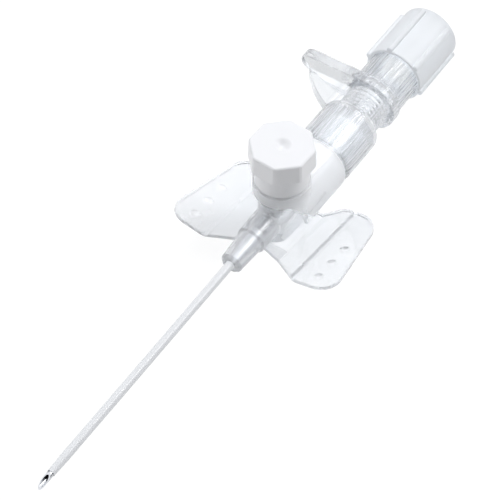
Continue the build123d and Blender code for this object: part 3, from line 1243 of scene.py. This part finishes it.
@dataclass
class Catheter(Piece):
    """The soft catheter tube, thinned to its tip and flared over its ferrule."""

    ROLE = Role("catheter_sleeve", "catheter_tube", "cannula", "catheter_polymer", CATHETER_FILM)

    length: float = 45.0  # reach out of the hub's nose
    radius: float = 0.70  # radius outside
    bore: float = 0.56  # radius of the bore
    taper: float = 3.2  # length of the thinned tip
    tip: float = 0.60  # radius at the tip
    root: float = 2.4  # where the flare starts, inside the nose
    flare: float = 1.0  # length of the flare
    flare_radius: float = 0.97  # radius of the flared end outside
    flare_bore: float = 0.79  # radius of the flared end inside
    end: float = 7.0  # rear end of the tube

    def make(self) -> Thing:
        """Turns the tube, its long walls in short steps.

        Returns:
            The finished tube.
        """
        back = self.root + self.flare
        start = self.taper - self.length
        run = [start + (self.root - start) * i / 24 for i in range(25)]
        tube = turn(
            "catheter_sleeve",
            [
                (-self.length + 0.02, self.bore), (-self.length, self.tip - 0.015),
                (-self.length + 0.03, self.tip + 0.01),
                *((place, self.radius) for place in run),
                (back, self.flare_radius), (self.end, self.flare_radius),
                (self.end, self.flare_bore), (back, self.flare_bore),
                *((place, self.bore) for place in reversed(run)),
            ],
            hollow=True,
            sides=64,
        )
        return settle(tube)


@dataclass
class Needle(Piece):
    """The steel needle, ground to a long bevel."""

    ROLE = Role("bevelled_needle", "needle_tube", "needle", "needle_steel", STEEL)

    tip: float = -47.9  # place of the point
    end: float = 37.0  # rear end
    radius: float = 0.53  # radius outside
    bore: float = 0.38  # radius of the bore
    bevel: float = 2.7  # length of the ground face

    def make(self) -> Thing:
        """Turns the tube, its long walls in short steps, and grinds its point.

        Returns:
            The finished needle.
        """
        run = [self.tip + (self.end - self.tip) * i / 40 for i in range(41)]
        walls = [(place, self.radius) for place in run]
        walls += [(place, self.bore) for place in reversed(run)]
        needle = turn("bevelled_needle", [walls[-1], *walls[:-1]], hollow=True, sides=64)
        wheel = block("wheel", (-4.0, -2.0, 0.0), (self.bevel + 2.0, 2.0, 4.0))
        wheel.rotation_euler = (0.0, -math.atan2(2 * self.radius, self.bevel), 0.0)
        wheel.location = (self.tip, 0.0, -self.radius)
        bake()
        cut(needle, wheel)
        return settle(needle, 20.0)


@dataclass
class PortCollar(Piece):
    """The white collar that grips the chimney and saddles the barrel."""

    ROLE = Role("saddle_collar", "port_collar", "cannula", "collar_white", COLLAR_WHITE)

    ring: float = 4.4  # radius of the ring round the chimney
    top: float = 6.0  # height of the ring
    body: float = 4.84  # radius of the part over the barrel
    saddle: float = 4.9  # radius of the rear band
    saddle_front: float = 16.1  # front end of the band at its top
    saddle_slope: float = 36.5  # slant of the band's front edge from upright, in degrees
    saddle_back: float = 24.2  # rear end of the band
    toe: float = 11.0  # front end of the body's slanted edge, at the waist's top
    slope: float = 49.0  # slant of that edge below the level, in degrees
    hem: float = -2.1  # height of the lower edge
    seat: float = 4.0  # height of the waist's flat top
    barrel_space: float = 3.95  # radius of the hollow over the barrel
    chimney_space: float = 3.25  # radius of the hollow round the chimney
    waist_space: float = 2.5  # half the width of the hollow over the waist

    def shell(self) -> Thing:
        """Joins the ring, the body and the band, with their slanted edges.

        Returns:
            The collar, not yet hollow.
        """
        slant, under = math.radians(self.saddle_slope), math.radians(self.slope)
        collar = rod("collar", self.hem, self.top, self.ring, Along.PORT)
        saddle = rod("saddle", PORT_AXIS, self.saddle_back, self.saddle)
        front = (self.saddle_front, 0, self.saddle)
        slice_off(saddle, front, (-math.cos(slant), 0, -math.sin(slant)))
        fuse(collar, rod("collar_body", PORT_AXIS, self.saddle_back - 0.1, self.body))
        slice_off(collar, (self.toe, 0, self.seat), (-math.sin(under), 0, -math.cos(under)))
        fuse(collar, rod("lip", self.seat, self.top, self.ring, Along.PORT), saddle)
        slice_off(collar, (0, 0, self.hem + 0.001), (0, 0, -1))
        return collar

    def make(self) -> Thing:
        """Hollows the collar over the barrel, the chimney and the waist.

        Returns:
            The finished collar.
        """
        collar = self.shell()
        side = self.waist_space
        cut(
            collar,
            rod("barrel_space", 8.0, 26.0, self.barrel_space),
            rod("chimney_space", -4.0, 8.0, self.chimney_space, Along.PORT),
            block("waist_space", (8.0, -side, -4.0), (17.45, side, self.seat)),
        )
        soften(collar, 0.22, 3, 38.0)
        return settle(collar)


@dataclass
class PortCap(Piece):
    """The white push-on cap of the port, with an eight-sided head."""

    ROLE = Role("push_cap", "port_cap", "port_cap", "cap_white", WHITE)

    corner: float = 5.14  # radius over the head's corners
    turned: float = -2.4  # turn of the head about the port, in degrees
    top: float = 13.6  # height of the head's top
    head: float = 3.4  # height of the head
    draft: float = 2.0  # slope of the head's sides, in degrees
    edge: float = 0.36  # round of the head's edges
    dish: float = 1.5  # radius of the dish in the top
    dish_depth: float = 0.65  # depth of the dish
    skirt: float = 4.15  # radius of the skirt
    bottom: float = 6.15  # height of the skirt's lower edge
    bore: float = 3.25  # radius of the skirt's bore
    ceiling: float = 11.55  # height of the bore's end
    plug_length: float = 6.6  # length of the plug in the port
    plug_root: float = 2.1  # radius of the plug at its root
    plug_end: float = 1.907  # radius of the plug at its end
    plug_bore: float = 1.207  # radius of the plug's bore

    def knob(self) -> Thing:
        """Makes the drafted and rounded head with its dish.

        Returns:
            The head.
        """
        depth = self.head + 2 * self.edge
        middle = self.top - depth / 2
        quarter = math.radians(22.5 + self.turned) + math.pi / 2
        knob = post("cap", 8, self.corner, depth, (PORT_AXIS, 0, middle), (0, 0, quarter))
        pick_points(knob, lambda p: p.z < middle)
        k = 1 + depth * math.tan(math.radians(self.draft)) / self.corner
        foot = (PORT_AXIS, 0, self.top - depth)
        bpy.ops.transform.resize(value=(k, k, 1), center_override=foot)
        leave()
        soften(knob, self.edge, 5, 30.0)
        slice_off(knob, (0, 0, self.top - self.head), (0, 0, -1))
        sag = [self.dish_depth * (1 + math.cos(math.pi * i / 12)) / 2 for i in range(13)]
        dip = [(self.top + 0.01 - sag[i], self.dish * i / 12) for i in range(1, 13)]
        cut(knob, turn("dish", [*dip, (self.top + 1, self.dish)], along=Along.PORT))
        return knob

    def make(self) -> Thing:
        """Joins the head, the hollow skirt and the plug.

        Returns:
            The finished cap.
        """
        cap = self.knob()
        shoulder = self.top - self.head + 0.4
        skirt = rod("skirt", self.bottom, shoulder, self.skirt, Along.PORT)
        soften(skirt, 0.2, 3)
        fuse(cap, skirt)
        cut(cap, rod("cap_bore", self.bottom - 1, self.ceiling, self.bore, Along.PORT))
        root, end = self.ceiling + 0.3, self.ceiling - self.plug_length
        plug = turn(
            "plug",
            [
                (root, self.plug_root), (end, self.plug_end), (end, self.plug_bore),
                (root, self.plug_bore),
            ],
            hollow=True,
            along=Along.PORT,
            sides=64,
        )
        fuse(cap, plug)
        return settle(cap)


@dataclass
class NeedleHub(Piece):
    """The clear needle hub: luer nose, collar, ringed neck, thumb plate and flash chamber."""

    ROLE = Role("thumb_plate_hub", "needle_hub", "needle", "needle_hub_clear", NEEDLE_HUB_CLEAR)

    collar: float = 4.9  # radius of the collar outside
    collar_bore: float = 4.28  # radius of the collar inside
    collar_front: float = 24.8  # front end of the collar
    collar_back: float = 34.0  # rear end of the collar
    neck: float = 3.5  # radius of the neck
    ring: float = 3.64  # radius over the neck's rings
    rings: tuple[float, ...] = (34.5, 35.3, 36.1, 36.9, 37.7)  # places of the rings along the axis
    plate: float = 38.5  # front face of the thumb plate
    plate_thickness: float = 1.9  # thickness of the plate
    flange: float = 4.7  # radius of the plate's round part
    tip: Point = (10.9, 3.0)  # middle of the plate's round tip, seen from the rear
    tip_round: float = 1.5  # radius of the tip
    web: float = 2.2  # thickness of the web
    chamber: float = 4.3  # radius of the chamber
    chamber_bore: float = 3.58  # radius of the chamber inside
    chamber_end: float = 50.0  # rear end of the chamber
    core: float = 2.9  # radius that the fin and the web keep clear of
    nose_front: float = 22.6  # front end of the luer nose
    nose: float = 1.84  # radius of the nose behind its bevelled front
    nose_root: float = 2.14  # radius of the nose at its root
    grip: float = 0.54  # radius of the hole that holds the needle
    flash: float = 2.3  # radius of the neck's flash bore
    flash_front: float = 35.2  # front end of that bore

    def turned(self) -> Thing:
        """Turns everything that is round about the axis.

        Returns:
            The turned body.
        """
        back, floor = self.plate + self.plate_thickness, self.collar_back - 1.3
        front, rear, c = self.collar_front, self.collar_back, self.collar
        wave = (
            (-0.08, self.neck), (0.05, self.ring - 0.03), (0.17, self.ring),
            (0.29, self.ring - 0.03), (0.42, self.neck),
        )
        taper = ((0, 0.42), (0.14, 0.27), (0.4, 0.12), (0.75, 0.03), (1.2, 0))
        rounded = ((1.1, 0), (0.68, 0.084), (0.32, 0.32), (0.084, 0.68), (0, 1.1))
        obj = turn(
            "needle_hub_body",
            [
                (self.nose_front, self.grip), (self.nose_front, self.nose - 0.12),
                (self.nose_front + 0.12, self.nose), (floor, self.nose_root),
                (floor, self.collar_bore),
                (front, self.collar_bore), *((front + x, c - y) for x, y in taper),
                *((rear - x, c - y) for x, y in rounded), (rear, self.neck),
                *((place + x, radius) for place in self.rings for x, radius in wave),
                (self.plate, self.neck), (self.plate, self.flange), (back, self.flange),
                (back, self.chamber), (self.chamber_end, self.chamber),
                (self.chamber_end, self.chamber_bore), (back, self.chamber_bore),
                (back, self.flash), (self.flash_front, self.flash), (self.flash_front, self.grip),
            ],
            hollow=True,
        )
        soften(obj, 0.12, 2, 50.0)
        return obj

    def fin(self) -> Thing:
        """Makes the part of the thumb plate that reaches out to the side.

        Returns:
            The fin.
        """
        y, z = self.tip
        r = self.tip_round
        slant = r * math.cos(math.pi / 4)
        tip = arc((y, z + r), (y + r, z), (y + slant, z - slant))
        edge = arc(tip[-1], (0.8 * y, -0.4), (0.9 * self.flange, -0.4 * self.flange))
        plan = [(0.0, self.flange), *tip, *edge[1:], (2.0, -1.5), (0.0, 0.0)]
        fin = drawn("fin", [(self.plate, *point) for point in plan], (self.plate_thickness, 0, 0))
        soften(fin, 0.3, 3, 40.0)
        return fin

    def web_of(self) -> Thing:
        """Makes the web that braces the fin, with its hollowed front.

        Returns:
            The web.
        """
        low = 0.3 * self.tip[1] - self.web / 2
        front, back = self.collar_back - 0.4, self.plate + 0.4
        sweep = arc(
            (back, self.tip[0] + 0.3), (self.plate - 2.3, self.tip[0] - 2.2),
            (front, self.collar - 0.1), 16,
        )
        root = self.core - 0.3
        plan = [*sweep, (front, root), (back, root)]
        web = drawn("web", [(*point, low) for point in plan], (0, 0, self.web))
        soften(web, 0.3, 3, 40.0)
        return web

    def make(self) -> Thing:
        """Joins the body, the fin and the web.

        Returns:
            The finished needle hub.
        """
        hub = self.turned()
        fin, web = self.fin(), self.web_of()
        back = self.plate + self.plate_thickness + 1
        fuse(fin, web)
        cut(fin, rod("core", self.collar_back - 2, back, self.core))
        fuse(hub, fin)
        return settle(hub)


@dataclass
class LuerCap(Piece):
    """The ribbed cap at the rear, with a spigot inside."""

    ROLE = Role("ribbed_cap", "luer_cap", "luer_cap", "luer_cap_natural", LUER_CAP_NATURAL)

    radius: float = 4.85  # radius of its wall outside
    front: float = 46.0  # front end
    end: float = 57.5  # rear end
    bore: float = 4.35  # radius of the bore
    edge: float = 0.7  # round of the rear edge
    rib: float = 0.55  # half the width of a rib
    ribs: int = 6
    turned: float = 18.0  # turn of the first rib, in degrees
    wall: float = 1.2  # thickness of the closed end
    rib_root: float = 4.6  # radius where the ribs start, inside the wall
    spigot_front: float = 50.0  # front end of the spigot
    spigot: float = 1.9  # radius of the spigot at its front
    spigot_root: float = 2.13  # radius of the spigot at its root
    spigot_bore: float = 1.1  # radius of the spigot's bore
    gate: float = 0.4  # radius of the hole that the gate closes

    def shell(self) -> Thing:
        """Turns the wall, the closed end and the spigot.

        Returns:
            The turned cap.
        """
        e, r, end, front = self.edge, self.radius, self.end, self.front
        floor, tip = end - self.wall, self.spigot_front
        rounded = ((1, 0), (0.62, 0.08), (0.29, 0.29), (0.08, 0.62), (0, 1))
        cap = turn(
            "luer_cap_body",
            [
                (front + 0.1, self.bore), (front, self.bore + 0.1), (front, r - 0.12),
                (front + 0.12, r), *((end - x * e, r - y * e) for x, y in rounded),
                (end, self.gate), (floor, self.gate), (floor, self.spigot_bore),
                (tip, self.spigot_bore), (tip, self.spigot), (tip + 0.1, self.spigot + 0.04),
                (floor, self.spigot_root), (floor, self.bore),
            ],
            hollow=True,
        )
        fuse(cap, rod("gate", floor, end - 0.02, self.gate + 0.2, sides=48))
        return cap

    def bars(self) -> list[Thing]:
        """Makes the rounded bars that the ribs are cut from.

        Returns:
            The bars.
        """
        low, high = self.front + 0.05, self.end - 1.0
        bar = post("rib", 20, self.rib, high - low, (0, 0, 0), (0, math.pi / 2, 0))
        soften(bar, 0.3, 3, 60.0)
        turns = [math.radians(self.turned + 360 * i / self.ribs) for i in range(self.ribs)]
        r, middle = self.radius, (low + high) / 2
        return copies(bar, [(middle, r * math.cos(t), r * math.sin(t)) for t in turns])

    def make(self) -> Thing:
        """Joins the ribs to the cap.

        Returns:
            The finished cap.
        """
        cap = self.shell()
        ribs, *others = self.bars()
        fuse(ribs, *others)
        cut(ribs, rod("bar_space", self.front - 1, self.end - 0.2, self.rib_root))
        fuse(cap, ribs)
        return settle(cap)


@dataclass
class Inners:
    """CAD nodes that keep their own shape and get a finish."""

    # Finish of each node
    finishes: dict[str, Finish] = field(
        default_factory=lambda: {
            "catheter_ferrule": STEEL,
            "port_valve": SILICONE,
            "vent_plug": PLUG_NATURAL,
            "vent_filter": FELT,
        }
    )

    def place(self) -> None:
        """Dresses the nodes."""
        for name, finish in self.finishes.items():
            dress(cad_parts[name], finish.make())
            LOG.info("%s keeps its CAD shape in %s", name, finish.name)


# ---- Studio ----


@dataclass(frozen=True)
class Lamp:
    """A soft box."""

    name: str
    towards: Triple  # direction from the object to the lamp
    distance: float  # distance from the object, in metres
    size: Point  # width and height, in metres
    power: float  # power in watts

    def place(self) -> None:
        """Hangs the lamp, facing the object."""
        data = bpy.data.lights.new(self.name, "AREA")
        data.shape = "RECTANGLE"
        data.size, data.size_y = self.size
        data.energy = self.power
        lamp = bpy.data.objects.new(self.name, data)
        bpy.context.scene.collection.objects.link(lamp)
        way = Vector(self.towards).normalized()
        lamp.location = way * self.distance
        lamp.rotation_euler = way.to_track_quat("Z", "Y").to_euler()


@dataclass
class Studio:
    """Pale floor, soft boxes and the camera."""

    floor_height: float = -0.0068  # height of the floor, in metres
    # Distances where the floor's light starts and stops to fade, in metres
    pool: Point = (0.064, 0.22)
    floor_glow: Point = (0.80, 0.25)  # light of the floor near the object and far from it
    camera_place: Triple = (-0.215782, -0.145774, 0.316999)  # place of the camera, in metres
    azimuth: float = -56.6  # turn of the camera round the object, in degrees
    elevation: float = 50.3  # height of the camera above the level, in degrees
    lens: float = 200.0  # focal length on a sensor 36 mm wide
    dim: Triple = (0.03, 0.03, 0.035)  # colour of the room's dim side, behind the camera
    bright: Triple = (0.50, 0.51, 0.53)  # colour of its bright side
    window: Triple = (0.50, 0.05, 0.865)  # direction of its bright side
    # The soft boxes
    lamps: tuple[Lamp, ...] = (
        Lamp("top_box", (0.15, 0.25, 1.0), 0.62, (0.75, 0.75), 2.2),
        Lamp("key_box", (0.533, -0.468, 0.705), 0.62, (0.20, 0.34), 1.8),
        Lamp("side_box", (-0.55, 0.84, 0.45), 0.62, (0.35, 0.35), 1.3),
    )

    def floor(self) -> None:
        """Lays the pale floor."""
        deselect()
        bpy.ops.mesh.primitive_plane_add(size=3, location=(0, 0, self.floor_height))
        floor = named("floor")
        material = bpy.data.materials.new("floor_paper")
        material.use_nodes = True
        material.cycles.emission_sampling = "NONE"
        nodes = Nodes(material.node_tree)
        place = nodes.add("TexCoord").outputs["Object"]
        away = nodes.add("VectorMath", place, operation="LENGTH").outputs["Value"]
        nodes.put(
            material.node_tree.nodes["Principled BSDF"],
            Base_Color=(0.22, 0.22, 0.22, 1.0), Roughness=0.9, Specular_IOR_Level=0.0,
            Emission_Color=(1.0, 1.0, 1.0, 1.0),
            Emission_Strength=nodes.ramp(away, *self.pool, self.floor_glow),
        )
        dress(floor, material)

    def room(self) -> None:
        """Makes a room that grows softly brighter towards its window side."""
        world = bpy.data.worlds.new("room")
        world.use_nodes = True
        nodes = Nodes(world.node_tree)
        way = nodes.add("TexCoord").outputs["Generated"]
        facing = nodes.add("VectorMath", way, self.window, operation="DOT_PRODUCT")
        share = nodes.ramp(facing.outputs["Value"], -0.10, 0.75)
        tone = nodes.add(
            "Mix", data_type="RGBA", A=(*self.dim, 1.0), B=(*self.bright, 1.0), Factor=share
        )
        nodes.put(world.node_tree.nodes["Background"], Color=tone.outputs["Result"])
        bpy.context.scene.world = world

    def camera(self) -> None:
        """Sets the camera at the photograph's angle."""
        data = bpy.data.cameras.new("camera")
        data.lens = self.lens
        data.sensor_width = 36.0
        data.clip_start = 0.01
        camera = bpy.data.objects.new("camera", data)
        bpy.context.scene.collection.objects.link(camera)
        camera.location = self.camera_place
        tilt = math.radians(90 - self.elevation)
        camera.rotation_euler = (tilt, 0.0, math.radians(self.azimuth))
        bpy.context.scene.camera = camera

    def place(self) -> None:
        """Sets up the whole studio."""
        self.floor()
        for lamp in self.lamps:
            lamp.place()
        self.room()
        bpy.context.scene.view_settings.view_transform = "Standard"
        self.camera()


def main() -> None:
    """Builds, dresses and reports every piece, then sets up the studio."""
    logging.basicConfig(level=logging.INFO, format="%(name)s: %(message)s")
    Inners().place()
    makers = (
        CatheterHub(), Catheter(), Needle(), PortCollar(), PortCap(), NeedleHub(), LuerCap(),
    )
    for maker in makers:
        piece = maker.place()
        LOG.info("%s has %d faces", piece.name, len(piece.data.polygons))
    Studio().place()


if __name__ == "__main__":
    main()
